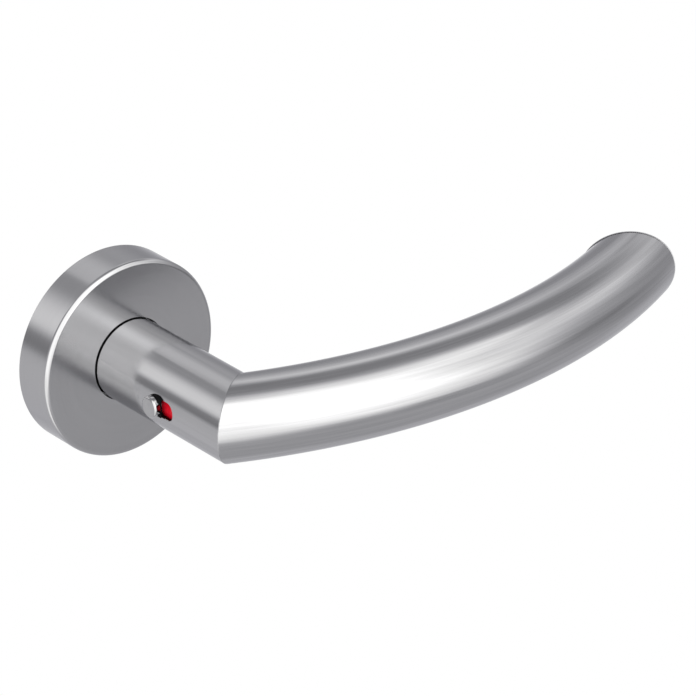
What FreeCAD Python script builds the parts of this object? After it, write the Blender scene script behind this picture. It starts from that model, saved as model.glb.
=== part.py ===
import FreeCAD
import Part
import math
import os

# Door lever on a round rose with a privacy slide in the neck. Millimetres.
# Frame: the rose's back plane lies on the door at y = 0, -Y points away from the door,
# the neck's axis is the Y axis, +X points along the grip, +Z is up.

V = FreeCAD.Vector

# rose
ROSE_R = 26.0
ROSE_T = 11.0
ROSE_FILLET = 1.15
COVER_WALL = 1.0
COVER_HOLE_R = 10.9
PLATE_R = 24.8
PLATE_T = 3.2
RIM_R_IN = 22.8
RIM_Y = -9.0
HUB_R = 11.2
HUB_Y = -6.0
BUSH_R = 8.4
BACK_RECESS_R = 11.0
BACK_RECESS_Y = -2.6
SNAP_Y = -6.0
SNAP_WIRE_R = 0.6
SNAP_RING_R = 24.6
LUG_X = 19.0
LUG_R = 3.75
LUG_BORE_R = 2.25
LUG_END_Y = 4.2
SCREW_POS = 13.4
SCREW_HEAD_R = 3.5
SCREW_R = 1.75

# lever
TUBE_R = 10.7
TUBE_R_IN = 9.7
NECK_Y0 = -9.05
TUBE_Y0 = -11.35
NECK_RING_R = 10.55
AXIS_Y = -52.0
GRIP_R = 155.8
GRIP_START = 25.14
GRIP_SWEEP = 48.54
END_TILT = 29.5
CAP_R = 10.8
CAP_GAP = 0.15
CAP_RIM = 0.35
CAP_T = 1.2
JOURNAL_R = 6.8
JOURNAL_Y0 = -0.3
FLAT = 5.6
CORE_R = 9.65
SPINDLE = 8.0
SOCKET = 8.1
SPINDLE_BACK = 20.0
SPINDLE_FRONT = -25.5
GRUB_Y = -16.0

# privacy slide
SLOT_HALF = 2.3
SLOT_Y0 = -31.6
SLOT_Y1 = -41.2
PIN_Y = -34.3
PIN_HEAD_R = 2.78
PIN_HEAD_X0 = -11.0
PIN_HEAD_X1 = -12.65
PIN_HEAD_FILLET = 0.6
PIN_R = 1.2
COLLAR_R = 3.13
COLLAR_Y = -34.9
COLLAR_FLAT_Y = -37.0
COLLAR_SEAT_R = 10.75
SLIDE_TRAVEL = 4.2
SLIDER_R = 9.6
SLIDER_X = -4.8
RED_X = -8.4
RED_R = 9.3
RED_Y0 = -35.3
RED_Y1 = -41.9
SLIDER_Z = 3.1
SLIDER_Y0 = -26.8
SLIDER_Y1 = -42.2
BOLT_X = -7.45
BOLT_R = 1.1
BOLT_TIP_Y = -6.3

# stops and spring, angles seen from the front, anticlockwise from +X
TAB_DEG = 150.0
TURN_DEG = 45.0
STOP_R0 = 13.7
STOP_R1 = 15.2
STOP_W = 4.0
SPRING_R = 12.4
SPRING_WIRE_R = 0.75
ANCHOR_DEG = 292.0

os.makedirs("parts", exist_ok=True)


def cyl(r, y0, y1, x=0.0, z=0.0):
    lo, hi = min(y0, y1), max(y0, y1)
    return Part.makeCylinder(r, hi - lo, V(x, lo, z), V(0, 1, 0))


def ring(r1, r0, y0, y1, x=0.0, z=0.0):
    return cyl(r1, y0, y1, x, z).cut(cyl(r0, y0 - 1, y1 + 1, x, z)) if y1 > y0 else ring(r1, r0, y1, y0, x, z)


def cone(ra, rb, ya, yb, x=0.0, z=0.0):
    if ya < yb:
        return Part.makeCone(ra, rb, yb - ya, V(x, ya, z), V(0, 1, 0))
    return Part.makeCone(rb, ra, ya - yb, V(x, yb, z), V(0, 1, 0))


def box(x0, x1, y0, y1, z0, z1):
    x0, x1 = sorted((x0, x1))
    y0, y1 = sorted((y0, y1))
    z0, z1 = sorted((z0, z1))
    return Part.makeBox(x1 - x0, y1 - y0, z1 - z0, V(x0, y0, z0))


def xcyl(r, x0, x1, y=0.0, z=0.0):
    lo, hi = min(x0, x1), max(x0, x1)
    return Part.makeCylinder(r, hi - lo, V(lo, y, z), V(1, 0, 0))


def zcyl(r, z0, z1, x=0.0, y=0.0):
    lo, hi = min(z0, z1), max(z0, z1)
    return Part.makeCylinder(r, hi - lo, V(x, y, lo), V(0, 0, 1))


def revolved(points):
    """Solid of revolution about the Y axis from (radius, y) points."""
    pts = [V(r, y, 0) for r, y in points]
    wire = Part.makePolygon(pts + [pts[0]])
    return Part.Face(wire).revolve(V(0, 0, 0), V(0, 1, 0), 360)


def spun(shape, deg):
    """Turned so that a thing on +X comes to lie deg anticlockwise, seen from the front."""
    s = shape.copy()
    s.rotate(V(0, 0, 0), V(0, -1, 0), deg)
    return s


def polar(r, deg):
    a = math.radians(deg)
    return r * math.cos(a), r * math.sin(a)


def halfspace(px, py, nx, ny, size=400.0):
    """Everything on the side of the plane that the normal (nx, ny) points to."""
    deg = math.degrees(math.atan2(ny, nx))
    b = Part.makeBox(size, size, size, V(0, -size / 2, -size / 2))
    b.rotate(V(0, 0, 0), V(0, 0, 1), deg)
    b.translate(V(px, py, 0))
    return b


def swept(points, r):
    """Round wire of radius r along a smooth curve through the points, which never runs along Y."""
    path = Part.BSplineCurve()
    path.interpolate([V(*p) for p in points])
    n = len(points)
    ts = [path.parameter(V(*p)) for p in points]
    ts[0], ts[-1] = path.FirstParameter, path.LastParameter
    corners = [(1, 0), (1, 1), (0, 1), (-1, 1), (-1, 0), (-1, -1), (0, -1), (1, -1), (1, 0)]
    root = math.sqrt(0.5)
    poles, knots, mults = [], None, None
    for a, b in corners:
        column = []
        for t in ts:
            c, d = path.value(t), path.tangent(t)[0]
            up = V(0, 1, 0) - d * d.y
            up.normalize()
            column.append(c + (d.cross(up) * a + up * b) * r)
        strand = Part.BSplineCurve()
        strand.interpolate(Points=column, Parameters=ts)
        poles.append(strand.getPoles())
        knots, mults = strand.getKnots(), strand.getMultiplicities()
    weights = [[1.0 if k % 2 == 0 else root] * len(poles[0]) for k in range(9)]
    skin = Part.BSplineSurface()
    skin.buildFromPolesMultsKnots(poles, [3, 2, 2, 2, 3], mults, [0, 0.25, 0.5, 0.75, 1.0], knots, False, False, 2, 3, weights)
    side = skin.toShape()
    caps = [Part.Face(Part.Wire([e])) for e in side.Edges if e.isClosed()]
    skin = Part.makeCompound([side] + caps)
    skin.sewShape(1e-5)
    solid = Part.Solid(skin.Shells[0])
    if solid.Volume < 0:
        solid.reverse()
    return solid


def save(name, shapes):
    if not isinstance(shapes, (list, tuple)):
        shapes = [shapes]
    solids = []
    for s in shapes:
        solids += s.Solids
    for s in solids:
        if not s.isValid() or not s.isClosed() or s.Volume <= 0:
            raise RuntimeError(name + " has a faulty solid")
    out = solids[0] if len(solids) == 1 else Part.makeCompound(solids)
    out.exportStep("parts/" + name + ".step")
    print(name, len(solids), round(sum(s.Volume for s in solids), 1))


# ---- rose: plate and what is fixed to it ----

base = revolved([
    (BACK_RECESS_R, 0), (PLATE_R - 0.3, 0), (PLATE_R, -0.3), (PLATE_R, SNAP_Y + 0.65), (23.9, SNAP_Y + 0.65),
    (23.9, SNAP_Y - 0.65), (PLATE_R, SNAP_Y - 0.65), (PLATE_R, RIM_Y + 0.6), (PLATE_R - 0.6, RIM_Y),
    (RIM_R_IN, RIM_Y), (RIM_R_IN, -PLATE_T), (HUB_R, -PLATE_T), (HUB_R, HUB_Y + 0.3), (HUB_R - 0.3, HUB_Y),
    (BUSH_R, HUB_Y), (BUSH_R, BACK_RECESS_Y), (BACK_RECESS_R, BACK_RECESS_Y),
])


def stop_block(deg, y_top, w=STOP_W, r0=STOP_R0, r1=STOP_R1):
    return spun(box(r0, r1, y_top, -PLATE_T + 0.4, -w / 2, w / 2), deg)


half = math.degrees(STOP_W / 2 / ((STOP_R0 + STOP_R1) / 2))
gap = math.degrees(0.3 / ((STOP_R0 + STOP_R1) / 2))
stop_a = TAB_DEG + 2 * half + gap + 1.2
stop_b = TAB_DEG - TURN_DEG - 2 * half - gap - 1.2
base = base.fuse([
    stop_block(stop_a, -7.2),
    stop_block(stop_b, -7.2),
    stop_block(ANCHOR_DEG, -6.2),
])
# ribs between hub and rim give the casting its stiffness
for deg in (22.0, 68.0, 202.0, 248.0, 325.0):
    base = base.fuse(spun(box(15.6, RIM_R_IN + 0.5, -5.0, -PLATE_T + 0.3, -0.7, 0.7), deg))
for sx in (-1, 1):
    base = base.cut(cyl(LUG_R + 0.02, -6, 1, sx * LUG_X, 0))
    x = z = sx * SCREW_POS
    base = base.cut(cyl(SCREW_R + 0.25, -6, 1, x, z))
    base = base.cut(cone(SCREW_HEAD_R + 0.3, SCREW_R + 0.05, -PLATE_T, -PLATE_T + SCREW_HEAD_R - SCREW_R + 0.25, x, z))
    base = base.cut(cyl(SCREW_HEAD_R + 0.3, -6, -PLATE_T, x, z))
LOCK_SCREW_DEG = (60.0, 235.0, 330.0)
for deg in LOCK_SCREW_DEG:
    x, z = polar(9.9, deg)
    base = base.cut(cyl(0.82, HUB_Y - 0.1, -3.4, x, z))
save("base_plate", base.removeSplitter())

lugs = []
for sx in (-1, 1):
    s = ring(LUG_R, LUG_BORE_R, -PLATE_T, 0.0, sx * LUG_X, 0)
    t = ring(LUG_R - 0.15, LUG_BORE_R, 0.0, LUG_END_Y - 0.4, sx * LUG_X, 0)
    c = cone(LUG_R - 0.15, LUG_R - 0.55, LUG_END_Y - 0.4, LUG_END_Y, sx * LUG_X, 0).cut(cyl(LUG_BORE_R, 0, 9, sx * LUG_X, 0))
    lugs.append(s.fuse([t, c]).removeSplitter())
save("lug_sleeves", lugs)


def wood_screw(x, z):
    y_head = -PLATE_T + 0.1
    pts = [(0.0, y_head), (SCREW_HEAD_R - 0.15, y_head), (SCREW_HEAD_R - 0.02, y_head + 0.15),
           (SCREW_R - 0.1, y_head + SCREW_HEAD_R - SCREW_R + 0.1), (SCREW_R - 0.1, 1.2)]
    y = 1.2
    root, crest, pitch = 1.15, SCREW_R, 1.3
    while y < 10.0:
        pts += [(root, y + 0.45), (crest, y + 0.45 + 0.4), (root, y + pitch)]
        y += pitch
    pts += [(0.0, 12.6)]
    s = revolved(pts)
    bit = box(-2.1, 2.1, y_head - 0.1, y_head + 1.2, -0.42, 0.42).fuse(box(-0.42, 0.42, y_head - 0.1, y_head + 1.2, -2.1, 2.1))
    bit = bit.fuse(cone(1.1, 0.4, y_head - 0.05, y_head + 1.7))
    s = s.cut(bit)
    s.rotate(V(0, 0, 0), V(0, 1, 0), 23.0 if x > 0 else -8.0)
    s.translate(V(x, 0, z))
    return s


save("wood_screws", [wood_screw(s * SCREW_POS, s * SCREW_POS) for s in (1, -1)])

save("bearing_bush", ring(BUSH_R - 0.02, JOURNAL_R + 0.05, BACK_RECESS_Y, HUB_Y))
save("back_washer", ring(10.5, 6.95, -1.55, -2.55))

# lock ring with a notch that the bolt enters; the notch is as long as the lever's turn
lock_ring = ring(11.1, 6.95, HUB_Y - 0.02, -7.7)
wedge = Part.Face(Part.makePolygon([V(0, 0, 0), V(*[polar(20, 191)[0], 0, polar(20, 191)[1]]),
                                    V(polar(20, 160)[0], 0, polar(20, 160)[1]),
                                    V(polar(20, 124)[0], 0, polar(20, 124)[1]), V(0, 0, 0)])).extrude(V(0, -12, 0))
lock_ring = lock_ring.cut(ring(8.85, 5.0, -12, 0).common(wedge))
lock_screws = []
for deg in LOCK_SCREW_DEG:
    x, z = polar(9.9, deg)
    lock_ring = lock_ring.cut(cyl(0.85, -9, -5, x, z))
    lock_ring = lock_ring.cut(cone(1.1, 0.8, -7.72, -7.35, x, z))
    s = cyl(0.8, -7.6, -3.6, x, z).fuse(cone(1.02, 0.8, -7.68, -7.42, x, z))
    s = s.cut(box(x - 0.85, x + 0.85, -7.8, -7.45, z - 0.13, z + 0.13))
    lock_screws.append(s)
save("lock_ring", lock_ring)
save("lock_ring_screws", lock_screws)

# torsion spring: coils run clockwise from the anchored leg to the leg on the tab
lead = math.degrees((STOP_W / 2 + SPRING_WIRE_R + 0.1) / ((STOP_R0 + STOP_R1) / 2))
fixed_deg = ANCHOR_DEG + lead
moving_deg = TAB_DEG - lead
turns = (fixed_deg - moving_deg + 360.0) / 360.0
y_a, y_b = -PLATE_T - SPRING_WIRE_R - 0.15, -7.8 + SPRING_WIRE_R + 0.3
bend = 9.0
pts = []
for r in (15.3, 14.7, 14.1):
    x, z = polar(r, fixed_deg)
    pts.append((x, y_a, z))
for k in range(1, 4):
    t = k / 4.0
    x, z = polar(14.1 - (14.1 - SPRING_R) * t ** 0.75, fixed_deg - bend * t * t)
    pts.append((x, y_a, z))
n = 44
a0, a1 = fixed_deg - bend, fixed_deg - turns * 360.0 + bend
for k in range(n + 1):
    t = k / n
    deg = a0 + (a1 - a0) * t
    x, z = polar(SPRING_R, deg)
    pts.append((x, y_a + (y_b - y_a) * t, z))
for k in range(3, 0, -1):
    t = k / 4.0
    x, z = polar(14.1 - (14.1 - SPRING_R) * t ** 0.75, fixed_deg - turns * 360.0 + bend * t * t)
    pts.append((x, y_b, z))
for r in (14.1, 14.7, 15.3):
    x, z = polar(r, moving_deg)
    pts.append((x, y_b, z))
save("return_spring", swept(pts, SPRING_WIRE_R))

snap = Part.makeTorus(SNAP_RING_R, SNAP_WIRE_R, V(0, SNAP_Y, 0), V(0, 1, 0))
snap = snap.cut(spun(box(20, 28, SNAP_Y - 2, SNAP_Y + 2, -2.2, 2.2), 270))
save("cover_snap_ring", snap)

# ---- cover ----

cover = revolved([
    (ROSE_R - COVER_WALL, -0.02), (ROSE_R - 0.15, -0.02), (ROSE_R, -0.17), (ROSE_R, -ROSE_T),
    (COVER_HOLE_R + 0.1, -ROSE_T), (COVER_HOLE_R, -ROSE_T + 0.1), (COVER_HOLE_R, -ROSE_T + COVER_WALL),
    (ROSE_R - COVER_WALL - 0.5, -ROSE_T + COVER_WALL), (ROSE_R - COVER_WALL, -ROSE_T + COVER_WALL + 0.5),
    (ROSE_R - COVER_WALL, SNAP_Y - 0.75), (ROSE_R - COVER_WALL + 0.3, SNAP_Y - 0.45),
    (ROSE_R - COVER_WALL + 0.3, SNAP_Y + 0.45), (ROSE_R - COVER_WALL, SNAP_Y + 0.75),
])
front_edge = [e for e in cover.Edges if hasattr(e.Curve, "Radius") and abs(e.Curve.Radius - ROSE_R) < 1e-6
              and abs(e.Vertexes[0].Point.y + ROSE_T) < 1e-6]
cover = cover.makeFillet(ROSE_FILLET, front_edge)
# pry notch at the foot of the wall, at the bottom
cover = cover.cut(box(-2.5, 2.5, -1.2, 1, -27, -24.9))
save("rose_cover", cover)
save("guide_ring", revolved([
    (TUBE_R + 0.08, -9.2), (13.6, -9.2), (13.6, -ROSE_T + COVER_WALL), (TUBE_R + 0.08, -ROSE_T + COVER_WALL),
]))

# ---- lever ----

start = math.radians(GRIP_START)
tx, ty = math.cos(start), -math.sin(start)
mx, my = tx, ty - 1.0
ml = math.hypot(mx, my)
mx, my = mx / ml, my / ml
cx, cy = GRIP_R * math.sin(start), AXIS_Y + GRIP_R * math.cos(start)
end = math.radians(GRIP_SWEEP - GRIP_START)
ex, ey = cx + GRIP_R * math.sin(end), cy - GRIP_R * math.cos(end)
etx, ety = math.cos(end), math.sin(end)
cut = end + math.radians(END_TILT)
enx, eny = math.cos(cut), math.sin(cut)


def bent(r, over_end):
    """Round bar along the grip's axis: a straight piece back past the mitre, then the arc."""
    prof = Part.Face(Part.Wire([Part.makeCircle(r, V(0, AXIS_Y, 0), V(tx, ty, 0))]))
    arc = prof.revolve(V(cx, cy, 0), V(0, 0, 1), GRIP_SWEEP + over_end)
    lead_in = Part.makeCylinder(r, 14.0, V(-14.0 * tx, AXIS_Y - 14.0 * ty, 0), V(tx, ty, 0))
    return arc, lead_in


beyond_mitre = halfspace(0, AXIS_Y, mx, my)
before_mitre = halfspace(0, AXIS_Y, -mx, -my)
beyond_end = halfspace(ex, ey, enx, eny)

arc_o, lead_o = bent(TUBE_R, 4.0)
arc_i, lead_i = bent(TUBE_R_IN, 6.0)
outer = arc_o.fuse(lead_o)
inner = arc_i.fuse(lead_i)
grip = outer.cut(inner).common(beyond_mitre).cut(beyond_end)
save("grip_tube", grip)

n = V(enx, eny, 0)
plug = bent(TUBE_R_IN - 0.03, 6.0)[0].common(halfspace(ex - 3.2 * enx, ey - 3.2 * eny, enx, eny))
plug = plug.cut(halfspace(ex + CAP_GAP * enx, ey + CAP_GAP * eny, enx, eny))
section = bent(CAP_R, 6.0)[0].cut(beyond_end)
rim = [f for f in section.Faces if isinstance(f.Surface, Part.Plane) and (f.CenterOfMass - V(ex, ey, 0)).Length < 2.0][0].OuterWire
rim.translate(n * CAP_GAP)
plate = Part.Face(rim).extrude(n * CAP_RIM)
back = rim.copy()
back.translate(n * CAP_RIM)
centre = V(ex, ey, 0) + n * (CAP_GAP + CAP_RIM)
small = back.copy()
small.scale(1 - (CAP_T - CAP_RIM - CAP_GAP) / CAP_R, centre)
small.translate(n * (CAP_T - CAP_RIM - CAP_GAP))
cap = plug.fuse([plate, Part.makeLoft([back, small], True, True)])
hollow = bent(TUBE_R_IN - 1.6, 6.0)[0].common(halfspace(ex - 3.3 * enx, ey - 3.3 * eny, enx, eny))
cap = cap.cut(hollow.cut(halfspace(ex - 0.3 * enx, ey - 0.3 * eny, enx, eny)))
save("end_cap", cap)

slot = box(-14, -6, SLOT_Y0 - SLOT_HALF, SLOT_Y1 + SLOT_HALF, -SLOT_HALF, SLOT_HALF)
slot = slot.fuse([xcyl(SLOT_HALF, -14, -6, SLOT_Y0 - SLOT_HALF, 0), xcyl(SLOT_HALF, -14, -6, SLOT_Y1 + SLOT_HALF, 0)])
neck = ring(TUBE_R, TUBE_R_IN, -72, TUBE_Y0).common(before_mitre)
neck = neck.cut(slot)
neck = neck.cut(zcyl(3.2, -14, -8, 0, GRUB_Y))
save("neck_tube", neck)

core = cyl(CORE_R, -72, NECK_Y0 - 0.0).common(halfspace(-1.8 * mx, AXIS_Y - 1.8 * my, -mx, -my))
journal = revolved([
    (0, JOURNAL_Y0), (JOURNAL_R - 0.3, JOURNAL_Y0), (JOURNAL_R, JOURNAL_Y0 - 0.3), (JOURNAL_R, -0.65), (6.25, -0.65),
    (6.25, -1.55), (JOURNAL_R, -1.55), (JOURNAL_R, NECK_Y0 - 0.2), (0, NECK_Y0 - 0.2),
])
for s in (-1, 1):
    journal = journal.cut(box(s * FLAT, s * 9, -6.05, NECK_Y0, -9, 9))
core = core.fuse(journal).removeSplitter()
h = SOCKET / 2
socket = box(-h, h, SPINDLE_FRONT - 0.3, 2, -h, h)
socket = socket.makeChamfer(0.45, [e for e in socket.Edges if abs(e.Vertexes[0].Point.y - e.Vertexes[1].Point.y) > 5])
core = core.cut(socket)
core = core.cut(box(-10.2, -4.6, SLIDER_Y0 + 0.3, SLIDER_Y1 - SLIDE_TRAVEL - 0.5, -SLIDER_Z - 0.1, SLIDER_Z + 0.1))
core = core.cut(box(-10.2, BOLT_X + 1.25, SLIDER_Y0, NECK_Y0 + 0.5, -1.25, 1.25))
core = core.cut(box(-4.7, -3.4, -30.0, -45.4, -1.5, 1.5))
core = core.cut(xcyl(0.65, -3.5, -1.2, -43.4, 0))
core = core.cut(zcyl(3.0, -10.2, -3.5, 0, GRUB_Y))
core = core.cut(cyl(4.2, SPINDLE_FRONT - 9.0, SPINDLE_FRONT - 0.2, 2.2, 0).cut(box(-9, -2.2, -60, 0, -9, 9)))
save("neck_core", core)

save("neck_ring", ring(NECK_RING_R, CORE_R + 0.02, TUBE_Y0 + 0.03, NECK_Y0 - 0.05))

disc = ring(13.0, 5.0, -7.8, -9.0).fuse(spun(box(11.5, STOP_R1, -7.8, -9.0, -STOP_W / 2, STOP_W / 2), TAB_DEG))
disc = disc.fuse(spun(box(STOP_R0 + 0.1, STOP_R1, -4.6, -8.2, -STOP_W / 2, STOP_W / 2), TAB_DEG))
dd = cyl(JOURNAL_R + 0.04, -12, 0).common(box(-FLAT - 0.03, FLAT + 0.03, -12, 0, -9, 9))
disc = disc.cut(dd).cut(cyl(BOLT_R + 0.12, -12, 0, BOLT_X, 0))
for deg in (30.0, 90.0, 210.0, 270.0, 330.0):
    x, z = polar(10.2, deg)
    disc = disc.cut(cyl(1.3, -12, 0, x, z))
save("driver_disc", disc.removeSplitter())

clip = ring(8.7, 6.3, -0.7, -1.5).cut(spun(box(4, 12, -3, 1, -2.3, 2.3), 90))
ears = []
for s in (-1, 1):
    x, z = polar(8.4, 90 + s * 21.5)
    clip = clip.fuse(cyl(1.25, -1.5, -0.7, x, z))
for s in (-1, 1):
    x, z = polar(8.4, 90 + s * 21.5)
    clip = clip.cut(cyl(0.6, -3, 1, x, z))
clip = clip.cut(cyl(6.3, -3, 1))
save("circlip", clip.removeSplitter())

h = SPINDLE / 2
spindle = box(-h, h, SPINDLE_FRONT, SPINDLE_BACK, -h, h)
spindle = spindle.makeChamfer(0.5, [e for e in spindle.Edges])
save("spindle", spindle)


def hexagon(flats, z0, z1, x, y):
    r = flats / math.sqrt(3)
    pts = [V(x + r * math.cos(math.radians(60 * k)), y + r * math.sin(math.radians(60 * k)), z0) for k in range(7)]
    return Part.Face(Part.makePolygon(pts)).extrude(V(0, 0, z1 - z0))


grub = zcyl(2.95, -10.1, -4.7, 0, GRUB_Y).fuse(Part.makeCone(2.95, 2.2, 0.65, V(0, GRUB_Y, -4.7), V(0, 0, 1)))
for k in range(5):
    z = -9.6 + k * 1.0
    groove = Part.makeTorus(3.05, 0.28, V(0, GRUB_Y, z), V(0, 0, 1))
    grub = grub.cut(groove)
grub = grub.cut(hexagon(3.0, -10.3, -7.2, 0, GRUB_Y))
save("grub_screw", grub)

# leaf that clicks into the slider's two grooves
mid = [(-45.0, -3.56), (-41.6, -3.56), (-39.2, -4.1), (-37.3, -4.7), (-36.5, -4.88), (-35.7, -4.7), (-33.8, -4.25), (-31.2, -3.9)]
t = 0.15
left, right = [], []
for k, (y, x) in enumerate(mid):
    ya, xa = mid[max(k - 1, 0)]
    yb, xb = mid[min(k + 1, len(mid) - 1)]
    dy, dx = yb - ya, xb - xa
    l = math.hypot(dx, dy)
    nx, ny = dy / l, -dx / l
    left.append(V(x + nx * t, y + ny * t, -1.3))
    right.append(V(x - nx * t, y - ny * t, -1.3))
poly = left + right[::-1]
leaf = Part.Face(Part.makePolygon(poly + [poly[0]])).extrude(V(0, 0, 2.6))
leaf = leaf.cut(xcyl(0.65, -6, -2, -43.4, 0))
save("detent_spring", leaf)
screw = xcyl(0.6, -3.9, -1.3, -43.4, 0).fuse(xcyl(1.15, -4.35, -3.72, -43.4, 0))
screw = screw.cut(box(-4.6, -4.1, -44.3, -42.5, -0.15, 0.15))
save("detent_screw", screw)

# ---- slider with pin, signal and bolt ----

blk = cyl(SLIDER_R, SLIDER_Y1, SLIDER_Y0).common(box(-12, SLIDER_X, SLIDER_Y1, SLIDER_Y0, -SLIDER_Z, SLIDER_Z))
for y in (-36.5, -36.5 + SLIDE_TRAVEL):
    g = Part.Face(Part.makePolygon([V(SLIDER_X + 0.1, y - 1.5, -4), V(SLIDER_X + 0.1, y + 1.5, -4), V(SLIDER_X - 0.5, y, -4),
                                    V(SLIDER_X + 0.1, y - 1.5, -4)])).extrude(V(0, 0, 8))
    blk = blk.cut(g)
red_zone = box(-12, RED_X, RED_Y0, RED_Y1, -2.75, 2.75)
blk = blk.cut(red_zone)
blk = blk.cut(xcyl(PIN_R, -12, -5.5, PIN_Y, 0))
blk = blk.cut(cyl(BOLT_R + 0.02, -30.2, SLIDER_Y0 + 1, BOLT_X, 0))
save("lock_slider", blk)

red = cyl(RED_R, RED_Y1 + 0.02, RED_Y0 - 0.02).common(box(-12, RED_X - 0.02, RED_Y1 + 0.02, RED_Y0 - 0.02, -2.73, 2.73))
red = red.cut(xcyl(PIN_R + 0.02, -12, -5.5, PIN_Y, 0))
save("red_indicator", red)

head = xcyl(PIN_HEAD_R, PIN_HEAD_X1, PIN_HEAD_X0, PIN_Y, 0)
head = head.makeFillet(PIN_HEAD_FILLET, [e for e in head.Edges if e.isClosed() and abs(e.CenterOfMass.x - PIN_HEAD_X1) < 1e-6])
pin = head.fuse(xcyl(PIN_R - 0.02, PIN_HEAD_X0 - 0.1, -5.55, PIN_Y, 0)).removeSplitter()
save("thumb_pin", pin)
# the saddle under the head lies on the round of the tube and is flat on the side of the signal and below
collar = xcyl(COLLAR_R, -9.0, PIN_HEAD_X0 + 0.01, COLLAR_Y, 0).cut(box(-14, -6, COLLAR_FLAT_Y, COLLAR_FLAT_Y - 4, -5, 5))
collar = collar.cut(box(-14, -6, COLLAR_Y + 4, COLLAR_Y - 4, -5, -SLOT_HALF))
collar = collar.cut(cyl(COLLAR_SEAT_R, -60, -20)).cut(xcyl(PIN_R, -12, -5.5, PIN_Y, 0))
save("pin_collar", collar)

bolt = cyl(BOLT_R, -30.1, BOLT_TIP_Y - 0.4, BOLT_X, 0).fuse(cone(BOLT_R - 0.4, BOLT_R, BOLT_TIP_Y, BOLT_TIP_Y - 0.4, BOLT_X, 0))
save("lock_bolt", bolt.removeSplitter())
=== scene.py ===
import math

import bmesh
import bpy
import numpy as np
from mathutils import Matrix, Vector


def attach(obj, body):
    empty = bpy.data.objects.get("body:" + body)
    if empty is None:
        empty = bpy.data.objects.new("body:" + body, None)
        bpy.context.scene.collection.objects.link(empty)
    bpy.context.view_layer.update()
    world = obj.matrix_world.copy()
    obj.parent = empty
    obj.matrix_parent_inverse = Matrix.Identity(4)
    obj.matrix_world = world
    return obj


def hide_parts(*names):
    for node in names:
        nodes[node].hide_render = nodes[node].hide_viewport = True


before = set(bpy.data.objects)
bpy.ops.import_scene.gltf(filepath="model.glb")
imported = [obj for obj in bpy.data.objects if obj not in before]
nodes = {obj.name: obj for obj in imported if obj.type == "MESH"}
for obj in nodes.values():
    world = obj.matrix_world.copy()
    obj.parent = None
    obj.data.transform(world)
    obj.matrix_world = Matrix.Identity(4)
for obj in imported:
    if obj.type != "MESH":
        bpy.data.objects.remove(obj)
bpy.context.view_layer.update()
MM = 0.001

# ---------------------------------------------------------------- sizes, as in the CAD (mm)
ROSE_R, ROSE_T, FILLET, HOLE_R = 26.0, 11.0, 1.15, 10.9
TUBE_R, TUBE_IN = 10.7, 9.7
TUBE_Y0, AXIS_Y = -11.35, -52.0
GRIP_R, START, SWEEP, TILT = 155.8, math.radians(25.14), math.radians(48.54), math.radians(29.5)
SLOT_HALF, SLOT_A, SLOT_B = 2.3, -33.9, -38.9
PIN_Y = -34.3

tx, ty = math.cos(START), -math.sin(START)
ml = math.hypot(tx, ty - 1.0)
MX, MY = tx / ml, (ty - 1.0) / ml
CX, CY = GRIP_R * math.sin(START), AXIS_Y + GRIP_R * math.cos(START)
END = SWEEP - START
EX, EY = CX + GRIP_R * math.sin(END), CY - GRIP_R * math.cos(END)
ENX, ENY = math.cos(END + TILT), math.sin(END + TILT)


# ---------------------------------------------------------------- mesh helpers
def arc_corner(p0, p1, p2, r, n):
    """Fillet of radius r at p1: [(point, normal)], normals on the left-hand side of the path turned to (dy, -dx)."""
    a = np.array(p0, float) - p1
    b = np.array(p2, float) - p1
    a /= np.linalg.norm(a)
    b /= np.linalg.norm(b)
    ang = math.acos(max(-1.0, min(1.0, float(a @ b))))
    t = r / math.tan(ang / 2)
    c = np.array(p1, float) + (a + b) / np.linalg.norm(a + b) * r / math.sin(ang / 2)
    s, e = np.array(p1, float) + a * t, np.array(p1, float) + b * t
    v0, v1 = (s - c) / r, (e - c) / r
    turn = math.acos(max(-1.0, min(1.0, float(v0 @ v1))))
    d_in, d_out = -a, b
    left = d_in[0] * d_out[1] - d_in[1] * d_out[0] > 0
    out = []
    for k in range(n + 1):
        w = k / n
        v = (math.sin((1 - w) * turn) * v0 + math.sin(w * turn) * v1) / math.sin(turn)
        out.append((c + v * r, v if left else -v))
    return out


def section(corners):
    """corners: [(a, b, fillet)] of a closed polygon whose material lies on the left. Gives segments [(p, q, n_p, n_q)]."""
    m = len(corners)
    pts = [np.array(c[:2], float) for c in corners]
    runs = []
    for i in range(m):
        r = corners[i][2]
        if r:
            runs.append(arc_corner(pts[i - 1], pts[i], pts[(i + 1) % m], r, 4 if r < 0.3 else 8 if r < 0.6 else 14))
        else:
            runs.append([(pts[i], None)])
    segs = []
    for i in range(m):
        run = runs[i]
        for (p, np_), (q, nq) in zip(run[:-1], run[1:]):
            segs.append((p, q, np_, nq))
        p, q = run[-1][0], runs[(i + 1) % m][0][0]
        d = (q - p) / np.linalg.norm(q - p)
        nn = np.array([d[1], -d[0]])
        segs.append((p, q, nn, nn))
    return segs


def build(name, verts, faces, normals, uvs=None):
    """Mesh from vertex positions in mm, faces, one normal per face corner and uv per face corner."""
    me = bpy.data.meshes.new(name)
    me.from_pydata([tuple(v) for v in np.asarray(verts) * MM], [], faces)
    me.update()
    me.polygons.foreach_set("use_smooth", [True] * len(me.polygons))
    if uvs is not None:
        lay = me.uv_layers.new(name="grain")
        lay.data.foreach_set("uv", np.asarray(uvs, dtype=np.float32).ravel())
    me.normals_split_custom_set([tuple(n) for n in normals])
    ob = bpy.data.objects.new(name, me)
    bpy.context.scene.collection.objects.link(ob)
    return ob


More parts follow.
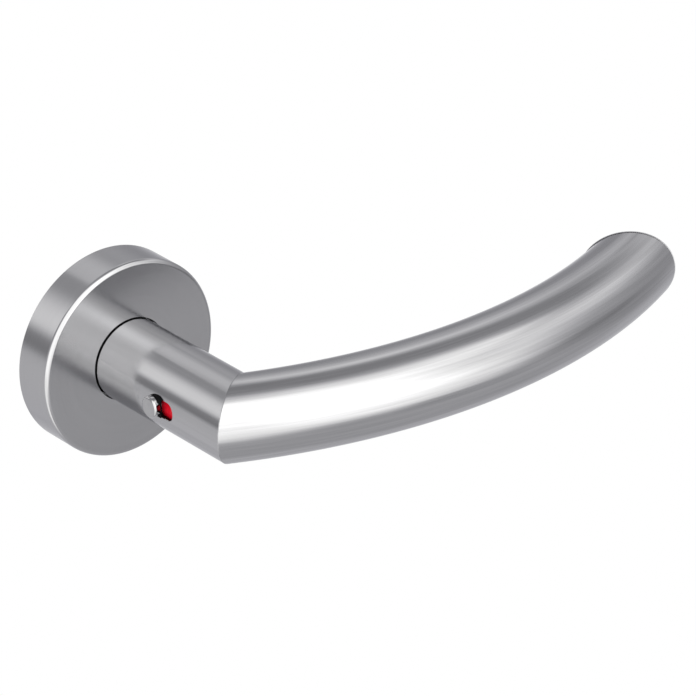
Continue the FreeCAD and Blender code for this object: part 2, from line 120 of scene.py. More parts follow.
def lathe(name, segs, axis, steps=192, centre=(0, 0, 0)):
    """Closed section turned about an axis: axis 'y' takes (radius, y), axis 'x' takes (radius, x)."""
    th = np.linspace(0, 2 * np.pi, steps, endpoint=False)
    c, s = np.cos(th), np.sin(th)
    pts = [g[0] for g in segs]
    m = len(pts)
    V = np.zeros((m, steps, 3))
    for i, p in enumerate(pts):
        if axis == "y":
            V[i] = np.stack([p[0] * c, np.full(steps, p[1]), p[0] * s], -1)
        else:
            V[i] = np.stack([np.full(steps, p[1]), p[0] * c, p[0] * s], -1)
    V += np.array(centre)
    flip = axis == "y"
    length = np.concatenate([[0], np.cumsum([np.linalg.norm(g[1] - g[0]) for g in segs])])

    def nrm(n, j):
        if axis == "y":
            return (n[0] * c[j], n[1], n[0] * s[j])
        return (n[1], n[0] * c[j], n[0] * s[j])

    faces, normals, uvs = [], [], []
    index = -np.ones((m, steps), int)
    verts = []
    for i in range(m):
        if pts[i][0] < 1e-6:
            index[i, :] = len(verts)
            verts.append(V[i, 0])
        else:
            index[i] = np.arange(len(verts), len(verts) + steps)
            verts.extend(V[i])
    for i, (p, q, n0, n1) in enumerate(segs):
        k = (i + 1) % m
        if p[0] < 1e-6 and q[0] < 1e-6:
            continue
        for j in range(steps):
            j2 = (j + 1) % steps
            quad = [(i, j, n0, 0), (i, j2, n0, 1), (k, j2, n1, 1), (k, j, n1, 0)]
            if p[0] < 1e-6:
                quad = [quad[0], quad[2], quad[3]]
            elif q[0] < 1e-6:
                quad = [quad[0], quad[1], quad[2]]
            if not flip:
                quad = quad[::-1]
            faces.append([int(index[a, b]) for a, b, _, _ in quad])
            for a, b, n, w in quad:
                normals.append(nrm(n, b))
                uvs.append(((j + w) / steps, (length[i] if a == i else length[i + 1]) * 0.01))
    # the order of the corners has to agree with the normals
    fixed_f, fixed_n, fixed_u, at = [], [], [], 0
    va = np.array(verts)
    for f in faces:
        nn = np.array(normals[at:at + len(f)])
        uu = uvs[at:at + len(f)]
        g = np.cross(va[f[1]] - va[f[0]], va[f[2]] - va[f[0]])
        if g @ nn.mean(0) < 0:
            f, nn, uu = f[::-1], nn[::-1], uu[::-1]
        fixed_f.append(f)
        fixed_n.extend(nn)
        fixed_u.extend(uu)
        at += len(faces[len(fixed_f) - 1])
    return build(name, va, fixed_f, fixed_n, fixed_u)


def tube_rings(name, rings, closed_loop=True):
    """rings: list of (positions (n,3), normals before, normals after, v). Consecutive rings are joined, the last to the first."""
    m = len(rings)
    n = len(rings[0][0])
    va = np.concatenate([r[0] for r in rings])
    faces, normals, uvs = [], [], []
    for i in range(m if closed_loop else m - 1):
        k = (i + 1) % m
        A, B = rings[i], rings[k]
        v0, v1 = A[3], (B[3] if k else A[3] + 0.01)
        for j in range(n):
            j2 = (j + 1) % n
            f = [i * n + j, i * n + j2, k * n + j2, k * n + j]
            nn = np.array([A[2][j], A[2][j2], B[1][j2], B[1][j]])
            uu = [(j / n, v0), ((j + 1) / n, v0), ((j + 1) / n, v1), (j / n, v1)]
            g = np.cross(va[f[2]] - va[f[0]], va[f[3]] - va[f[1]])
            if g @ nn.mean(0) < 0:
                f, nn, uu = f[::-1], nn[::-1], uu[::-1]
            faces.append(f)
            normals.extend(nn)
            uvs.extend(uu)
    return build(name, va, faces, normals, uvs)


# ---------------------------------------------------------------- rose cover
R, T = ROSE_R, -ROSE_T
cover_section = section([
    (25.0, -0.02, 0), (R, -0.02, 0.15), (R, T, FILLET), (HOLE_R, T, 0.13),
    (HOLE_R, T + 1.0, 0), (24.5, T + 1.0, 0), (25.0, T + 1.5, 0), (25.0, -6.75, 0), (25.3, -6.45, 0),
    (25.3, -5.55, 0), (25.0, -5.25, 0),
])
# the section above runs with its material on the right, so its normals are turned
area = sum(s[0][0] * s[1][1] - s[1][0] * s[0][1] for s in cover_section)
if area < 0:
    cover_section = [(p, q, -np.array(a), -np.array(b)) for p, q, a, b in cover_section]
cover = lathe("rose_cover_look", cover_section, "y", 256)


def cut_with(obj, cutter, classify):
    """Takes the cutter out of obj and sets the corner normals again with classify(points, flat normal)."""
    mod = obj.modifiers.new("cut", "BOOLEAN")
    mod.operation = "DIFFERENCE"
    mod.solver = "EXACT"
    mod.object = cutter
    bpy.context.view_layer.update()
    deps = bpy.context.evaluated_depsgraph_get()
    me = bpy.data.meshes.new_from_object(obj.evaluated_get(deps))
    obj.modifiers.clear()
    old = obj.data
    obj.data = me
    bpy.data.meshes.remove(old)
    bpy.data.objects.remove(cutter)
    co = np.empty(len(me.vertices) * 3)
    me.vertices.foreach_get("co", co)
    co = co.reshape(-1, 3) / MM
    out = []
    for p in me.polygons:
        pts = co[list(p.vertices)]
        out.extend(classify(pts, np.array(p.normal)))
    me.polygons.foreach_set("use_smooth", [True] * len(me.polygons))
    me.normals_split_custom_set([tuple(n) for n in out])


def cover_normals(pts, flat):
    if abs(flat[0]) > 0.999 and (np.abs(np.abs(pts[:, 0]) - 2.5) < 1e-3).all():
        return np.repeat(flat[None], len(pts), 0)
    rad = np.hypot(pts[:, 0], pts[:, 2])
    e = np.stack([pts[:, 0], np.zeros(len(rad)), pts[:, 2]], -1) / rad[:, None]
    fr = flat @ (e.mean(0) / np.linalg.norm(e.mean(0)))
    out = e * fr
    out[:, 1] = flat[1]
    for cr, cy, r, sr, sy in ((R - FILLET, T + FILLET, FILLET, 1, -1), (R - 0.15, -0.17, 0.15, 1, 1), (HOLE_R + 0.13, T + 0.13, 0.13, -1, -1)):
        d = np.stack([rad - cr, pts[:, 1] - cy], -1)
        l = np.linalg.norm(d, axis=1)
        if (np.abs(l - r) < 3e-3).all() and (d[:, 0] * sr > -3e-3).all() and (d[:, 1] * sy > -3e-3).all():
            out = e * (d[:, 0] / l)[:, None]
            out[:, 1] = d[:, 1] / l
    return out / np.linalg.norm(out, axis=1, keepdims=True)


def box_cutter(lo, hi):
    verts = [(x, y, z) for x in (lo[0], hi[0]) for y in (lo[1], hi[1]) for z in (lo[2], hi[2])]
    faces = [(0, 1, 3, 2), (4, 6, 7, 5), (0, 4, 5, 1), (2, 3, 7, 6), (0, 2, 6, 4), (1, 5, 7, 3)]
    return plain("box_cutter", verts, faces)


def plain(name, verts, faces):
    me = bpy.data.meshes.new(name)
    me.from_pydata([tuple(v) for v in np.asarray(verts, float) * MM], [], faces)
    bm = bmesh.new()
    bm.from_mesh(me)
    bmesh.ops.remove_doubles(bm, verts=bm.verts, dist=1e-7)
    bmesh.ops.recalc_face_normals(bm, faces=bm.faces)
    bm.to_mesh(me)
    bm.free()
    ob = bpy.data.objects.new(name, me)
    bpy.context.scene.collection.objects.link(ob)
    return ob


cut_with(cover, box_cutter((-2.5, -1.2, -27.0), (2.5, 1.0, -24.9)), cover_normals)


# ---------------------------------------------------------------- neck tube
def neck_look():
    n = 256
    th = np.linspace(0, 2 * np.pi, n, endpoint=False)
    rad = np.stack([np.cos(th), np.zeros(n), np.sin(th)], -1)
    plane = np.repeat(np.array([[MX, MY, 0.0]]), n, 0)
    base = np.repeat(np.array([[0.0, 1.0, 0.0]]), n, 0)

    def at_base(r, d):
        return rad * r + np.array([0, TUBE_Y0 - d, 0])

    def at_mitre(r, d):
        x = rad[:, 0] * r
        y = AXIS_Y - (d + MX * x) / MY
        return np.stack([x, y, rad[:, 2] * r], -1)

    e, steps, rings = 0.13, 4, []
    v = 0.0
    for k in range(steps + 1):
        a = k / steps * math.pi / 2
        nn = base * math.cos(a) + rad * math.sin(a)
        rings.append((at_base(TUBE_R - e + e * math.sin(a), e - e * math.cos(a)), nn, nn, v))
    for k in range(steps + 1):
        a = k / steps * math.pi / 2
        nn = rad * math.cos(a) + plane * math.sin(a)
        nn /= np.linalg.norm(nn, axis=1, keepdims=True)
        rings.append((at_mitre(TUBE_R - e + e * math.cos(a), e - e * math.sin(a)), nn, nn, v + 0.4 + k * 0.0003))
    rings.append((at_mitre(TUBE_IN, 0.0), plane, -rad, v + 0.42))
    rings.append((at_base(TUBE_IN, 0.0), -rad, base, v + 0.8))
    return tube_rings("neck_tube_look", rings)


def stadium(r, k=40):
    out = []
    for i in range(k + 1):
        a = math.pi * i / k
        out.append((SLOT_A + r * math.sin(a), r * math.cos(a)))
    for i in range(k + 1):
        a = math.pi * i / k
        out.append((SLOT_B - r * math.sin(a), -r * math.cos(a)))
    return out


def slot_cutter():
    c = 0.14
    levels = []
    for r, x in ((SLOT_HALF, None), (SLOT_HALF, -c), (SLOT_HALF + 2 * c, c), (SLOT_HALF + 2 * c, 99)):
        ring = []
        for y, z in stadium(r):
            surf = math.sqrt(TUBE_R ** 2 - z * z)
            ring.append((-6.0 if x is None else -14.0 if x == 99 else -(surf + x), y, z))
        levels.append(ring)
    verts = [p for ring in levels for p in ring]
    n = len(levels[0])
    faces = []
    for i in range(len(levels) - 1):
        for j in range(n):
            j2 = (j + 1) % n
            faces.append([i * n + j, i * n + j2, (i + 1) * n + j2, (i + 1) * n + j])
    faces.append(list(range(n))[::-1])
    faces.append([3 * n + j for j in range(n)])
    return plain("slot_cutter", verts, faces)


def zcyl_cutter(r, y, z0, z1, flare, n=64):
    levels = [(r, z1), (r, z0 + flare), (r + flare, z0 - 0.02), (r + flare, z0 - 2.0)]
    verts, faces = [], []
    for rr, z in levels:
        verts += [(rr * math.cos(2 * math.pi * k / n), y + rr * math.sin(2 * math.pi * k / n), z) for k in range(n)]
    for i in range(3):
        for j in range(n):
            j2 = (j + 1) % n
            faces.append([i * n + j, i * n + j2, (i + 1) * n + j2, (i + 1) * n + j])
    faces.append(list(range(n)))
    faces.append([3 * n + j for j in range(n)])
    return plain("hole_cutter", verts, faces)


def neck_normals(pts, flat):
    rad = np.hypot(pts[:, 0], pts[:, 2])
    rn = np.stack([pts[:, 0] / rad, np.zeros(len(rad)), pts[:, 2] / rad], -1)
    if (np.abs(rad - TUBE_R) < 2e-3).all() and flat @ rn.mean(0) > 0.9:
        return rn
    if (np.abs(rad - TUBE_IN) < 2e-3).all() and flat @ rn.mean(0) < -0.9:
        return -rn
    # walls of the slot's round ends
    if abs(flat[0]) < 0.05 and pts[:, 0].max() < -8 and (np.abs(pts[:, 2]) <= SLOT_HALF + 0.01).all():
        for cy, s in ((SLOT_A, 1), (SLOT_B, -1)):
            if ((pts[:, 1] - cy) * s > -1e-3).all():
                d = np.stack([np.zeros(len(pts)), pts[:, 1] - cy, pts[:, 2]], -1)
                l = np.linalg.norm(d, axis=1)
                if (np.abs(l - SLOT_HALF) < 5e-3).all():
                    return -d / l[:, None]
    return np.repeat(flat[None], len(pts), 0)


neck = neck_look()
cut_with(neck, slot_cutter(), neck_normals)
cut_with(neck, zcyl_cutter(3.2, -16.0, -10.7, -8.0, 0.2), neck_normals)


# ---------------------------------------------------------------- grip tube
def grip_look():
    n = 192
    th = np.linspace(0, 2 * np.pi, n, endpoint=False)
    ct, st = np.cos(th), np.sin(th)

    def frame_at(s):
        s = np.asarray(s, float)
        phi = np.where(s < 0, 0.0, s / GRIP_R) - START
        back = np.minimum(s, 0.0)
        cx = CX + GRIP_R * np.sin(phi) + back * math.cos(-START)
        cy = CY - GRIP_R * np.cos(phi) + back * math.sin(-START)
        nx, ny = np.sin(phi), -np.cos(phi)
        return cx, cy, nx, ny

    def point(s, r):
        cx, cy, nx, ny = frame_at(s)
        return np.stack([cx + r * ct * nx, cy + r * ct * ny, r * st], -1)

    def normal(s):
        _, _, nx, ny = frame_at(s)
        return np.stack([ct * nx, ct * ny, st], -1)

    def solve(r, px, py, nx, ny, d, lo, hi):
        a, b = np.full(n, lo), np.full(n, hi)
        for _ in range(60):
            m = (a + b) / 2
            p = point(m, r)
            g = (p[:, 0] - px) * nx + (p[:, 1] - py) * ny - d
            b = np.where(g > 0, m, b)
            a = np.where(g > 0, a, m)
        return (a + b) / 2

    L = GRIP_R * SWEEP

    def s_mitre(r, d):
        return solve(r, 0, AXIS_Y, MX, MY, d, -14.0, 30.0)

    def s_end(r, d):
        return solve(r, EX, EY, ENX, ENY, -d, L - 40.0, L + 12.0)

    plane0 = np.repeat(np.array([[-MX, -MY, 0.0]]), n, 0)
    plane1 = np.repeat(np.array([[ENX, ENY, 0.0]]), n, 0)
    e, steps, rings = 0.13, 4, []
    for k in range(steps + 1):
        a = k / steps * math.pi / 2
        r = TUBE_R - e + e * math.sin(a)
        s = s_mitre(r, e - e * math.cos(a))
        nn = plane0 * math.cos(a) + normal(s) * math.sin(a)
        nn /= np.linalg.norm(nn, axis=1, keepdims=True)
        rings.append((point(s, r), nn, nn, 0.0))
    s0, s1 = s_mitre(TUBE_R, e), s_end(TUBE_R, 0.2)
    m = 110
    for k in range(1, m):
        s = s0 + (s1 - s0) * k / m
        nn = normal(s)
        rings.append((point(s, TUBE_R), nn, nn, 1.4 * k / m))
    e = 0.2
    for k in range(steps + 1):
        a = k / steps * math.pi / 2
        r = TUBE_R - e + e * math.cos(a)
        s = s_end(r, e - e * math.sin(a))
        nn = normal(s) * math.cos(a) + plane1 * math.sin(a)
        nn /= np.linalg.norm(nn, axis=1, keepdims=True)
        rings.append((point(s, r), nn, nn, 1.4 + k * 0.0005))
    s = s_end(TUBE_IN, 0.0)
    rings.append((point(s, TUBE_IN), plane1, -normal(s), 1.42))
    s0 = s_mitre(TUBE_IN, 0.0)
    for k in range(1, 24):
        q = s + (s0 - s) * k / 24
        rings.append((point(q, TUBE_IN), -normal(q), -normal(q), 1.42 + 1.4 * k / 24))
    rings.append((point(s0, TUBE_IN), -normal(s0), plane0, 2.83))
    return tube_rings("grip_tube_look", rings)


grip = grip_look()

# ---------------------------------------------------------------- thumb pin
pin_section = section([
    (0.0, -12.65, 0), (2.78, -12.65, 0.6), (2.78, -11.0, 0.05), (1.18, -11.0, 0), (1.18, -5.55, 0), (0.0, -5.55, 0),
])
area = sum(s[0][0] * s[1][1] - s[1][0] * s[0][1] for s in pin_section)
if area < 0:
    pin_section = [(p, q, -np.array(a), -np.array(b)) for p, q, a, b in pin_section]
pin = lathe("thumb_pin_look", pin_section, "x", 96, (0, PIN_Y, 0))

for obj, node, body in ((cover, "rose_cover", "cover"), (neck, "neck_tube", "lever"), (grip, "grip_tube", "lever"),
                        (pin, "thumb_pin", "lock_slide")):
    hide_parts(node)
    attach(obj, body)


# ---------------------------------------------------------------- materials
def material(name, color, metallic, rough, **more):
    mat = bpy.data.materials.new(name)
    mat.use_nodes = True
    nt = mat.node_tree
    bsdf = nt.nodes["Principled BSDF"]
    bsdf.inputs["Metallic"].default_value = metallic
    bsdf.inputs["Roughness"].default_value = rough
    bsdf.inputs["Base Color"].default_value = (*color, 1)
    for k, v in more.items():
        bsdf.inputs[k.replace("_", " ")].default_value = v
    return mat, nt, bsdf


def coords(nt, kind, scale):
    tc = nt.nodes.new("ShaderNodeTexCoord")
    mp = nt.nodes.new("ShaderNodeMapping")
    mp.inputs["Scale"].default_value = scale
    nt.links.new(tc.outputs[kind], mp.inputs["Vector"])
    return mp.outputs["Vector"]


def noise(nt, vec, scale, detail=3.0, rough=0.5, distortion=0.0):
    t = nt.nodes.new("ShaderNodeTexNoise")
    t.inputs["Scale"].default_value = scale
    t.inputs["Detail"].default_value = detail
    t.inputs["Roughness"].default_value = rough
    t.inputs["Distortion"].default_value = distortion
    nt.links.new(vec, t.inputs["Vector"])
    return t.outputs["Fac"]


def ranged(nt, fac, a, b, lo=0.3, hi=0.7):
    r = nt.nodes.new("ShaderNodeMapRange")
    r.inputs["From Min"].default_value = lo
    r.inputs["From Max"].default_value = hi
    r.inputs["To Min"].default_value = a
    r.inputs["To Max"].default_value = b
    nt.links.new(fac, r.inputs["Value"])
    return r.outputs["Result"]


def tinted(nt, fac, a, b, lo=0.35, hi=0.65):
    r = nt.nodes.new("ShaderNodeValToRGB")
    r.color_ramp.elements[0].position = lo
    r.color_ramp.elements[1].position = hi
    r.color_ramp.elements[0].color = (*a, 1)
    r.color_ramp.elements[1].color = (*b, 1)
    nt.links.new(fac, r.inputs["Fac"])
    return r.outputs["Color"]


def bumped(nt, fac, strength, distance, bsdf):
    b = nt.nodes.new("ShaderNodeBump")
    b.inputs["Strength"].default_value = strength
    b.inputs["Distance"].default_value = distance
    nt.links.new(fac, b.inputs["Height"])
    nt.links.new(b.outputs["Normal"], bsdf.inputs["Normal"])


def added(nt, x, y):
    m = nt.nodes.new("ShaderNodeMath")
    m.operation = "ADD"
    nt.links.new(x, m.inputs[0])
    nt.links.new(y, m.inputs[1])
    return m.outputs[0]


def satin(name, kind, grain_scale, streak_scale, rough, contrast, bump):
    """Satin stainless steel: hairlines and broader streaks along one direction, slight cloudiness in the roughness."""
    mat, nt, bsdf = material(name, (0.422, 0.422, 0.432), 1.0, 0.2)
    bsdf.inputs["Specular Tint"].default_value = (0.76, 0.76, 0.78, 1)
    fine = noise(nt, coords(nt, kind, grain_scale), 1.0, 3.0, 0.6)
    cloud = noise(nt, coords(nt, "Object", (1, 1, 1)), 45.0, 3.0, 0.5)
    streak = noise(nt, coords(nt, kind, streak_scale), 1.0, 2.0, 0.5)
    grain = added(nt, ranged(nt, fine, 0.0, 0.4, 0.0, 1.0), ranged(nt, streak, 0.0, 0.6, 0.0, 1.0))
    lo, hi = 1 - contrast, 1 + contrast
    c1 = tinted(nt, grain, (0.422 * lo, 0.422 * lo, 0.431 * lo), (0.422 * hi, 0.422 * hi, 0.431 * hi))
    nt.links.new(c1, bsdf.inputs["Base Color"])
    mixed = added(nt, ranged(nt, fine, rough - 0.02, rough + 0.02), ranged(nt, cloud, 0.0, 0.03))
    nt.links.new(mixed, bsdf.inputs["Roughness"])
    bumped(nt, fine, bump, 0.00002, bsdf)
    return mat


def cast(name, color, rough=0.45):
    mat, nt, bsdf = material(name, color, 1.0, rough)
    v = coords(nt, "Object", (1, 1, 1))
    big, small = noise(nt, v, 120.0, 3.0), noise(nt, v, 1800.0, 3.0, 0.6)
    lo = tuple(c * 0.86 for c in color)
    hi = tuple(min(1.0, c * 1.1) for c in color)
    nt.links.new(tinted(nt, big, lo, hi), bsdf.inputs["Base Color"])
    nt.links.new(ranged(nt, small, rough - 0.08, rough + 0.12), bsdf.inputs["Roughness"])
    bumped(nt, small, 0.25, 0.00006, bsdf)
    return mat


def machined(name, color, rough, stretch=(300, 3000, 300), spots=0.12):
    mat, nt, bsdf = material(name, color, 1.0, rough)
    fine = noise(nt, coords(nt, "Object", stretch), 1.0, 3.0, 0.6)
    big = noise(nt, coords(nt, "Object", (1, 1, 1)), 160.0, 4.0, 0.6)
    lo = tuple(c * (1 - spots) for c in color)
    hi = tuple(min(1.0, c * 1.08) for c in color)
    nt.links.new(tinted(nt, big, lo, hi), bsdf.inputs["Base Color"])
    nt.links.new(added(nt, ranged(nt, fine, rough - 0.06, rough + 0.06), ranged(nt, big, 0.0, 0.06)), bsdf.inputs["Roughness"])
    bumped(nt, fine, 0.12, 0.00003, bsdf)
    return mat


def plastic(name, color, rough, grain=2500.0, specular=0.5):
    mat, nt, bsdf = material(name, color, 0.0, rough)
    bsdf.inputs["Specular IOR Level"].default_value = specular
    v = coords(nt, "Object", (1, 1, 1))
    small, big = noise(nt, v, grain, 2.0), noise(nt, v, 200.0, 3.0)
    lo = tuple(c * 0.85 for c in color)
    hi = tuple(min(1.0, c * 1.12 + 0.002) for c in color)
    nt.links.new(tinted(nt, big, lo, hi), bsdf.inputs["Base Color"])
    nt.links.new(ranged(nt, small, rough - 0.06, rough + 0.1), bsdf.inputs["Roughness"])
    bumped(nt, small, 0.15, 0.00003, bsdf)
    return mat


satin_rose = satin("satin_rose", "UV", (3.0, 500.0, 1.0), (2.0, 60.0, 1.0), 0.165, 0.018, 0.015)
satin_neck = satin("satin_neck", "Object", (2600.0, 22.0, 2600.0), (420.0, 5.0, 420.0), 0.145, 0.05, 0.03)
satin_grip = satin("satin_grip", "UV", (170.0, 3.0, 1.0), (55.0, 2.0, 1.0), 0.15, 0.095, 0.04)
satin_cap = satin("satin_cap", "Object", (200.0, 200.0, 3000.0), (40.0, 40.0, 600.0), 0.15, 0.04, 0.03)
zinc = cast("zinc_casting_look", (0.34, 0.345, 0.355), 0.42)
zinc_core = cast("zinc_core_look", (0.36, 0.365, 0.37), 0.36)
plated = machined("plated_look", (0.43, 0.435, 0.45), 0.27)
ring_steel = machined("ring_steel_look", (0.35, 0.355, 0.365), 0.24, (260, 260, 2600))
spring_look = machined("spring_look", (0.21, 0.21, 0.22), 0.30, (900, 900, 900), 0.2)
spindle_look = machined("spindle_look", (0.39, 0.395, 0.41), 0.30, (2600, 60, 2600))
screw_look = machined("screw_look", (0.46, 0.42, 0.31), 0.28, (900, 2500, 900))
black_steel = machined("black_steel_look", (0.06, 0.06, 0.065), 0.35, (900, 900, 900))
white_pom = plastic("white_pom_look", (0.52, 0.52, 0.50), 0.42)
black_nylon = plastic("black_nylon_look", (0.012, 0.012, 0.013), 0.45)
# painted shade: a near-black steel for the slot's walls, standing in for the shade that falls inside the slot
slot_wall_painted_shade = machined("slot_wall_painted_shade_look", (0.02, 0.02, 0.022), 0.45, (900, 900, 900))
# black rubber for the neck ring and the pin's collar; their near-black colour also paints the shade in the gaps at the
# rose's hole and under the pin's head (painted shade)
rubber_and_painted_gap_shade = plastic("rubber_and_painted_gap_shade_look", (0.0032, 0.0032, 0.0036), 0.55, 2500.0, 0.04)
black_slider = plastic("black_slider_look", (0.008, 0.008, 0.009), 0.38)
red = plastic("red_signal_look", (0.62, 0.002, 0.014), 0.42, 1800.0, 0.25)

polished, nt_p, bsdf_p = material("polished_pin_look", (0.40, 0.40, 0.405), 1.0, 0.06)
v_p = coords(nt_p, "Object", (1, 1, 1))
n_p = noise(nt_p, v_p, 700.0, 4.0, 0.6)
nt_p.links.new(ranged(nt_p, n_p, 0.045, 0.10), bsdf_p.inputs["Roughness"])
nt_p.links.new(tinted(nt_p, n_p, (0.38, 0.38, 0.39), (0.41, 0.41, 0.415)), bsdf_p.inputs["Base Color"])
bumped(nt_p, n_p, 0.02, 0.00002, bsdf_p)

looks = {
    "base_plate": zinc, "neck_core": zinc_core, "lug_sleeves": plated, "wood_screws": screw_look,
    "back_washer": ring_steel, "lock_ring": ring_steel, "lock_ring_screws": black_steel, "driver_disc": plated,
    "return_spring": spring_look, "cover_snap_ring": spring_look, "circlip": black_steel, "detent_spring": ring_steel,
    # neck_ring and pin_collar: black rubber whose darkness also paints the shade of the gaps they fill
    "bearing_bush": white_pom, "guide_ring": black_nylon, "neck_ring": rubber_and_painted_gap_shade, "pin_collar": rubber_and_painted_gap_shade, "lock_slider": black_slider, "red_indicator": red,
    "spindle": spindle_look, "grub_screw": black_steel, "lock_bolt": ring_steel, "detent_screw": black_steel,
    "end_cap": satin_cap,
}
for name, mat in looks.items():
    ob = nodes[name]
    if not ob.material_slots:
        ob.data.materials.append(mat)
    for s in ob.material_slots:
        s.material = mat
for ob, mat, slot in ((cover, satin_rose, "satin_steel"), (neck, satin_neck, "satin_steel"), (grip, satin_grip, "satin_steel"),
                      (pin, polished, "polished_steel")):
    ob.data.materials.clear()
    ob.data.materials.append(mat)

# painted shade: the walls of the slot get a near-black material that stands in for the shade inside the slot
neck.data.materials.append(slot_wall_painted_shade)
for p in neck.data.polygons:
    c = np.array(p.center) / MM
    if c[0] < -9.0 and abs(c[2]) <= SLOT_HALF + 0.01 and SLOT_B - 3 < c[1] < SLOT_A + 3 and abs(p.normal[0]) < 0.35 and math.hypot(c[0], c[2]) < TUBE_R - 0.15:
        p.material_index = 1

# ---------------------------------------------------------------- stage
scene = bpy.context.scene
scene.view_settings.view_transform = "Standard"
scene.view_settings.look = "None"

me = bpy.data.meshes.new("floor")
me.from_pydata([(-6, -6, 0), (6, -6, 0), (6, 6, 0), (-6, 6, 0)], [], [(0, 1, 2, 3)])
floor = bpy.data.objects.new("floor", me)
floor.location = (0, 0, -0.25)
scene.collection.objects.link(floor)
mat = bpy.data.materials.new("floor_pale")
mat.use_nodes = True
nt = mat.node_tree
nt.nodes.clear()
out = nt.nodes.new("ShaderNodeOutputMaterial")
mix = nt.nodes.new("ShaderNodeMixShader")
lp = nt.nodes.new("ShaderNodeLightPath")
geo = nt.nodes.new("ShaderNodeNewGeometry")
tr = nt.nodes.new("ShaderNodeBsdfTransparent")
em = nt.nodes.new("ShaderNodeEmission")
em.inputs["Color"].default_value = (1, 1, 1, 1)
em.inputs["Strength"].default_value = 1.0
front = nt.nodes.new("ShaderNodeMath")
front.operation = "SUBTRACT"
front.use_clamp = True
nt.links.new(lp.outputs["Is Camera Ray"], front.inputs[0])
nt.links.new(geo.outputs["Backfacing"], front.inputs[1])
nt.links.new(front.outputs[0], mix.inputs[0])
nt.links.new(tr.outputs[0], mix.inputs[1])
nt.links.new(em.outputs[0], mix.inputs[2])
nt.links.new(mix.outputs[0], out.inputs["Surface"])
me.materials.append(mat)

# studio: soft boxes placed by direction. azimuth 0 is straight out of the door, + towards the grip's end
world = bpy.data.worlds.new("studio")
scene.world = world
world.use_nodes = True
nt = world.node_tree
nt.nodes.clear()
out = nt.nodes.new("ShaderNodeOutputWorld")
tc = nt.nodes.new("ShaderNodeTexCoord")
sep = nt.nodes.new("ShaderNodeSeparateXYZ")
nt.links.new(tc.outputs["Generated"], sep.inputs[0])


def wmath(op, a, b=None):
    m = nt.nodes.new("ShaderNodeMath")
    m.operation = op
    for i, x in enumerate((a, b)):
        if x is None:
            continue
        if isinstance(x, (int, float)):
            m.inputs[i].default_value = x
        else:
            nt.links.new(x, m.inputs[i])
    return m.outputs[0]


negy = wmath("MULTIPLY", sep.outputs["Y"], -1.0)
az = wmath("MULTIPLY", wmath("ARCTAN2", sep.outputs["X"], negy), 180 / math.pi)
el = wmath("MULTIPLY", wmath("ARCSINE", sep.outputs["Z"]), 180 / math.pi)


def ease(x, a, b):
    """0 at a, 1 at b, smooth."""
    r = nt.nodes.new("ShaderNodeMapRange")
    r.interpolation_type = "SMOOTHSTEP"
    r.clamp = True
    if a < b:
        r.inputs["From Min"].default_value, r.inputs["From Max"].default_value = a, b
        r.inputs["To Min"].default_value, r.inputs["To Max"].default_value = 0.0, 1.0
    else:
        r.inputs["From Min"].default_value, r.inputs["From Max"].default_value = b, a
        r.inputs["To Min"].default_value, r.inputs["To Max"].default_value = 1.0, 0.0
    nt.links.new(x, r.inputs["Value"])
    return r.outputs["Result"]


def window(a0, a1, a2, a3, e0, e1, e2, e3):
    m = wmath("MULTIPLY", ease(az, a0, a1), ease(az, a3, a2))
    return wmath("MULTIPLY", m, wmath("MULTIPLY", ease(el, e0, e1), ease(el, e3, e2)))


def layer(base, value, mask):
    """base * (1 - mask) + value * mask"""
    m = nt.nodes.new("ShaderNodeMix")
    m.data_type = "FLOAT"
    nt.links.new(mask, m.inputs[0])
    if isinstance(base, (int, float)):
        m.inputs[2].default_value = base
    else:
        nt.links.new(base, m.inputs[2])
    m.inputs[3].default_value = value
    return m.outputs[0]


light = layer(0.230, 0.279, ease(el, -26, -30))
light = layer(light, 0.352, window(76, 101, 175, 183, -95, -90, -21, 5))
light = layer(light, 0.367, window(-181, -179, -106, -96, -95, -90, -18, 22))
light = layer(light, 0.183, window(54, 68, 141, 148, 27, 33, 95, 97))
light = layer(light, 0.009, window(32, 39, 64, 77, -23, -5, -23, -3))
light = layer(light, 0.125, window(-158, -152, -130, -124, -8, 1, -10, 35))
light = layer(light, 0.594, window(-163, -141, -136, -133, 7, 18, 42, 50))
light = layer(light, 0.434, window(135, 145, 181, 183, 30, 40, 45, 47))
light = layer(light, 1.662, window(114, 138, 128, 152, 0, 120, 44, 59))
light = layer(light, 0.862, window(137, 145, 148, 156, -34, -27, -35, -7))
light = layer(light, 1.319, window(14, 44, 11, 100, -13, 73, 35, 88))
light = layer(light, 0.972, window(-104, -74, -29, 14, -44, -20, 64, 93))
light = layer(light, 1.315, window(-25, -1, 6, 58, -31, -11, 47, 88))
light = layer(light, 1.698, window(46, 68, 119, 124, 7, 91, 25, 43))
light = layer(light, 0.604, window(16, 46, 49, 51, 11, 28, 32, 51))
light = layer(light, 0.470, window(-29, -7, 32, 38, -35, -4, -37, 19))
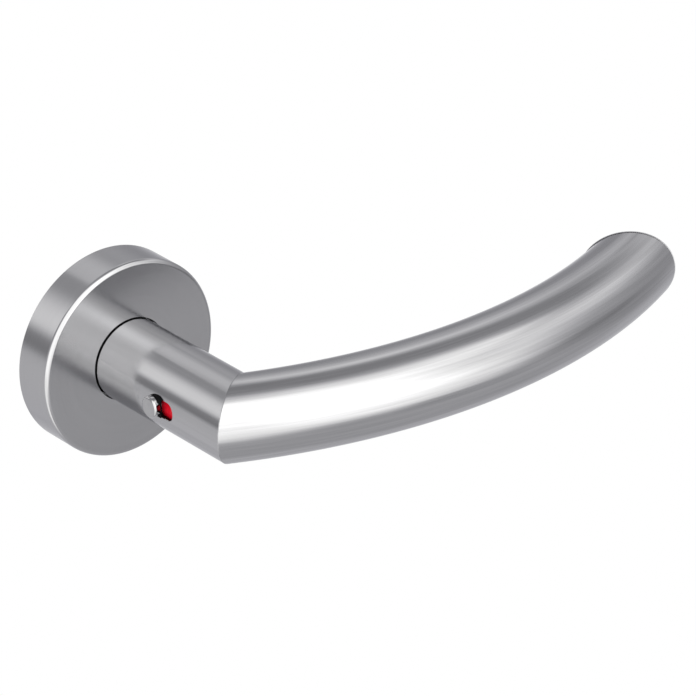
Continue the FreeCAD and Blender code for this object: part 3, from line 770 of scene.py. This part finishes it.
light = layer(light, 0.909, window(39, 48, 60, 80, 39, 48, 41, 69))
# a low patch that the rose's face sees, and the low end of the left box, seen by its front edge
light = layer(light, 0.240, window(16, 24, 46, 54, -38, -34, -25, -22))
light = layer(light, 0.750, window(-100, -75, -40, -30, -85, -50, -20, -10))
# the dim parts of the studio are slightly bluer than the boxes
cool = nt.nodes.new("ShaderNodeMapRange")
cool.inputs["From Min"].default_value, cool.inputs["From Max"].default_value = 0.20, 0.70
cool.inputs["To Min"].default_value, cool.inputs["To Max"].default_value = 1.035, 0.985
nt.links.new(light, cool.inputs["Value"])
colour = nt.nodes.new("ShaderNodeCombineColor")
nt.links.new(wmath("MULTIPLY", light, 1.005), colour.inputs[0])
nt.links.new(light, colour.inputs[1])
nt.links.new(wmath("MULTIPLY", light, cool.outputs["Result"]), colour.inputs[2])
bg = nt.nodes.new("ShaderNodeBackground")
nt.links.new(colour.outputs[0], bg.inputs["Color"])
bg.inputs["Strength"].default_value = 1.0 / 0.425
white = nt.nodes.new("ShaderNodeBackground")
white.inputs["Color"].default_value = (1, 1, 1, 1)
lp = nt.nodes.new("ShaderNodeLightPath")
mix = nt.nodes.new("ShaderNodeMixShader")
nt.links.new(lp.outputs["Is Camera Ray"], mix.inputs[0])
nt.links.new(bg.outputs[0], mix.inputs[1])
nt.links.new(white.outputs[0], mix.inputs[2])
nt.links.new(mix.outputs[0], out.inputs["Surface"])

# ---------------------------------------------------------------- camera
cam_data = bpy.data.cameras.new("camera")
cam_data.sensor_width = 36.0
cam_data.lens = 231.23
cam_data.clip_start, cam_data.clip_end = 0.05, 50.0
cam = bpy.data.objects.new("camera", cam_data)
scene.collection.objects.link(cam)
right = Vector((0.76433336, -0.6448213, 0.0))
up = Vector((0.29360628, 0.34802366, 0.89032291))
back = Vector((-0.57409918, -0.6805035, 0.45532968))
m = Matrix.Identity(4)
for i in range(3):
    m[i][0], m[i][1], m[i][2] = right[i], up[i], back[i]
m.translation = Vector((-0.591634, -0.795525, 0.504750))
cam.matrix_world = m
scene.camera = cam
